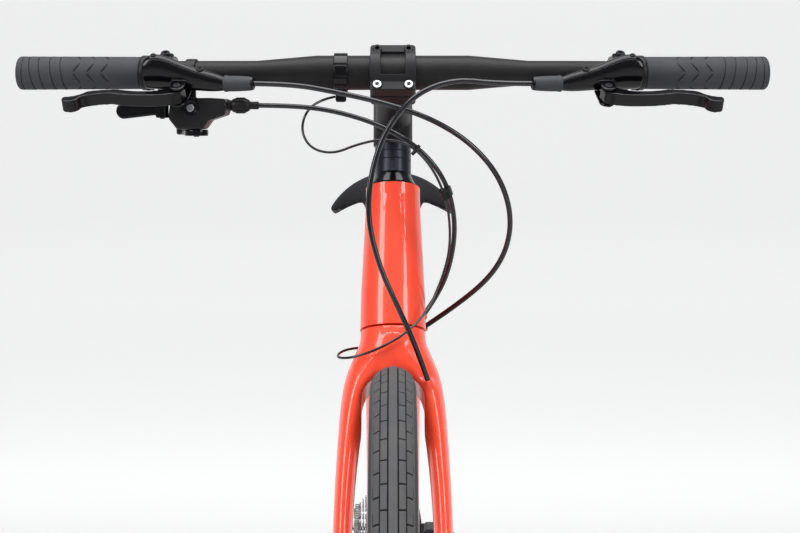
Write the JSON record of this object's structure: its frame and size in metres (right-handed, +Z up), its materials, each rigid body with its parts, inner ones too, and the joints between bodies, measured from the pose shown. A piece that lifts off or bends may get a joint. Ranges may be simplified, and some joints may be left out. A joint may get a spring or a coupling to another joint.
{
  "type": "hybrid bike",
  "caption": "Flat-bar hybrid bicycle with painted tube frame and fork, disc brakes, lock-on grips, trigger shifter, single chainring drive, drooping-wing saddle and treaded tyres.",
  "frame": {"origin": "on the ground under the middle of the bicycle, midway between the tyre contacts", "axes": "+X forward, +Y the rider's left, +Z up"},
  "size_m": [1.7598, 0.704, 0.9841],
  "materials": {
    "frame_paint": "gloss orange-red",
    "black_alloy": "satin black",
    "dark_alloy": "satin dark anodised",
    "silver_alloy": "brushed",
    "steel": "bright",
    "tyre": "matte",
    "grip_rubber": "matte",
    "hose_black": "satin",
    "black_plastic": "gloss",
    "saddle_cover": "matte"
  },
  "bodies": {
    "frame": {"head_tube": "frame_paint", "top_tube": "frame_paint", "down_tube": "frame_paint", "seat_tube": "frame_paint", "bottom_bracket": "black_alloy", "chainstays": "frame_paint", "seatstays": "frame_paint", "seat_collar": "black_alloy", "rear_caliper": "black_plastic", "rear_axle": "dark_alloy", "chain": "steel", "derailleur_knuckle": "dark_alloy"},
    "seat": {"seatpost": "black_alloy", "saddle": "saddle_cover", "saddle_rails": "dark_alloy"},
    "steering": {"fork": "frame_paint", "front_axle": "dark_alloy", "headset_spacers": "dark_alloy", "stem": "black_alloy", "stem_faceplate": "black_alloy", "stem_hardware": "steel", "handlebar": "black_alloy", "grip_left": "grip_rubber", "grip_right": "grip_rubber", "brake_body_left": "black_plastic", "brake_body_right": "black_plastic", "shifter_body": "black_plastic", "front_brake_hose": "hose_black", "rear_brake_hose": "hose_black", "shift_housing": "hose_black", "front_caliper": "black_plastic", "bar_bracket": "black_plastic", "sensor_wire": "hose_black"},
    "front_wheel": {"front_tyre": "tyre", "front_rim": "black_alloy", "front_spokes": "silver_alloy", "front_hub": "black_alloy", "front_rotor": "steel"},
    "rear_wheel": {"rear_tyre": "tyre", "rear_rim": "black_alloy", "rear_spokes": "silver_alloy", "rear_hub": "black_alloy", "rear_rotor": "steel"},
    "cassette": {"cassette": "steel"},
    "crankset": {"crank_right": "black_alloy", "crank_left": "black_alloy", "chainring": "steel"},
    "pedal_left": {"pedal_left": "black_alloy"},
    "pedal_right": {"pedal_right": "black_alloy"},
    "brake_lever_left": {"brake_lever_left": "black_plastic"},
    "brake_lever_right": {"brake_lever_right": "black_plastic"},
    "shift_lever": {"shift_lever": "black_plastic"},
    "release_lever": {"release_lever": "black_plastic"},
    "barrel_adjuster": {"barrel_adjuster": "black_plastic"},
    "outer_link": {"derailleur_outer_link": "dark_alloy"},
    "inner_link": {"derailleur_inner_link": "dark_alloy"},
    "cage_knuckle": {"derailleur_cage_knuckle": "dark_alloy"},
    "cage": {"derailleur_cage": "dark_alloy"},
    "guide_pulley": {"guide_pulley": "black_plastic"},
    "tension_pulley": {"tension_pulley": "black_plastic"}
  },
  "joints": [
    {"name": "steering_turn", "type": "hinge", "parent": "frame", "child": "steering", "pos_m": [0.35492, 0, 0.71409], "axis": [-0.3256, 0, 0.9455], "range_deg": [-60, 60], "deforming": ["rear_brake_hose", "shift_housing"]},
    {"name": "front_wheel_spin", "type": "hinge", "parent": "steering", "child": "front_wheel", "pos_m": [0.53, 0, 0.35], "axis": [0, 1, 0], "continuous": true},
    {"name": "rear_wheel_spin", "type": "hinge", "parent": "frame", "child": "rear_wheel", "pos_m": [-0.53, 0, 0.35], "axis": [0, 1, 0], "continuous": true},
    {"name": "crank_turn", "type": "hinge", "parent": "frame", "child": "crankset", "pos_m": [-0.0956, 0, 0.28], "axis": [0, 1, 0], "continuous": true, "deforming": ["chain"]},
    {"name": "cassette_turn", "type": "hinge", "parent": "frame", "child": "cassette", "pos_m": [-0.53, 0, 0.35], "axis": [0, 1, 0], "continuous": true},
    {"name": "pedal_right_spin", "type": "hinge", "parent": "crankset", "child": "pedal_right", "pos_m": [0.0769, 0, 0.28], "axis": [0, 1, 0], "continuous": true},
    {"name": "pedal_left_spin", "type": "hinge", "parent": "crankset", "child": "pedal_left", "pos_m": [-0.2681, 0, 0.28], "axis": [0, 1, 0], "continuous": true},
    {"name": "brake_lever_left_pull", "type": "hinge", "parent": "steering", "child": "brake_lever_left", "pos_m": [0.39323, 0.19593, 0.93534], "axis": [0.4637, 0.0734, 0.8829], "range_deg": [0, 15], "stiffness_Nm_per_rad": 1.2, "springref_deg": -5.73},
    {"name": "brake_lever_right_pull", "type": "hinge", "parent": "steering", "child": "brake_lever_right", "pos_m": [0.39323, -0.19593, 0.93534], "axis": [-0.4637, 0.0734, -0.8829], "range_deg": [0, 15], "stiffness_Nm_per_rad": 1.2, "springref_deg": -5.73},
    {"name": "shift_lever_push", "type": "hinge", "parent": "steering", "child": "shift_lever", "pos_m": [0.36618, -0.18153, 0.90353], "axis": [0, 0, -1], "range_deg": [0, 30], "stiffness_Nm_per_rad": 0.3, "springref_deg": -11.46},
    {"name": "release_lever_pull", "type": "hinge", "parent": "steering", "child": "release_lever", "pos_m": [0.36627, -0.21293, 0.92253], "axis": [0, 0, -1], "range_deg": [0, 15], "stiffness_Nm_per_rad": 0.3, "springref_deg": -11.46},
    {"name": "barrel_adjuster_turn", "type": "hinge", "parent": "steering", "child": "barrel_adjuster", "pos_m": [0.37119, -0.14992, 0.92553], "axis": [0.1564, 0.9877, 0], "range_deg": [-360, 360]},
    {"name": "saddle_height", "type": "slide", "parent": "frame", "child": "seat", "axis": [-0.284, 0, 0.9588], "range_m": [-0.01, 0.12]},
    {"name": "derailleur_shift", "type": "hinge", "parent": "frame", "child": "outer_link", "pos_m": [-0.53, -0.076, 0.294], "axis": [0.9511, 0, 0.309], "range_deg": [-21, 21], "stiffness_Nm_per_rad": 0.6},
    {"name": "derailleur_inner_pivot", "type": "hinge", "parent": "frame", "child": "inner_link", "pos_m": [-0.53, -0.064, 0.294], "axis": [0.9511, 0, 0.309], "range_deg": [-21, 21]},
    {"name": "derailleur_knuckle_pivot", "type": "hinge", "parent": "outer_link", "child": "cage_knuckle", "pos_m": [-0.51609, -0.076, 0.2512], "axis": [0.9511, 0, 0.309], "range_deg": [-21, 21]},
    {"name": "cage_swing", "type": "hinge", "parent": "cage_knuckle", "child": "cage", "pos_m": [-0.51209, -0.0468, 0.2382], "axis": [0, 1, 0], "range_deg": [-25, 20], "stiffness_Nm_per_rad": 0.8},
    {"name": "guide_pulley_spin", "type": "hinge", "parent": "cage", "child": "guide_pulley", "pos_m": [-0.51209, -0.0468, 0.2382], "axis": [0, 1, 0], "continuous": true},
    {"name": "tension_pulley_spin", "type": "hinge", "parent": "cage", "child": "tension_pulley", "pos_m": [-0.49237, -0.0468, 0.17942], "axis": [0, 1, 0], "continuous": true}
  ],
  "couplings": [
    {"joint": "cassette_turn", "follows": "crank_turn", "ratio": 1.9048},
    {"joint": "guide_pulley_spin", "follows": "crank_turn", "ratio": -3.6364},
    {"joint": "tension_pulley_spin", "follows": "crank_turn", "ratio": 3.6364},
    {"joint": "derailleur_inner_pivot", "follows": "derailleur_shift", "ratio": 1},
    {"joint": "derailleur_knuckle_pivot", "follows": "derailleur_shift", "ratio": -1}
  ]
}
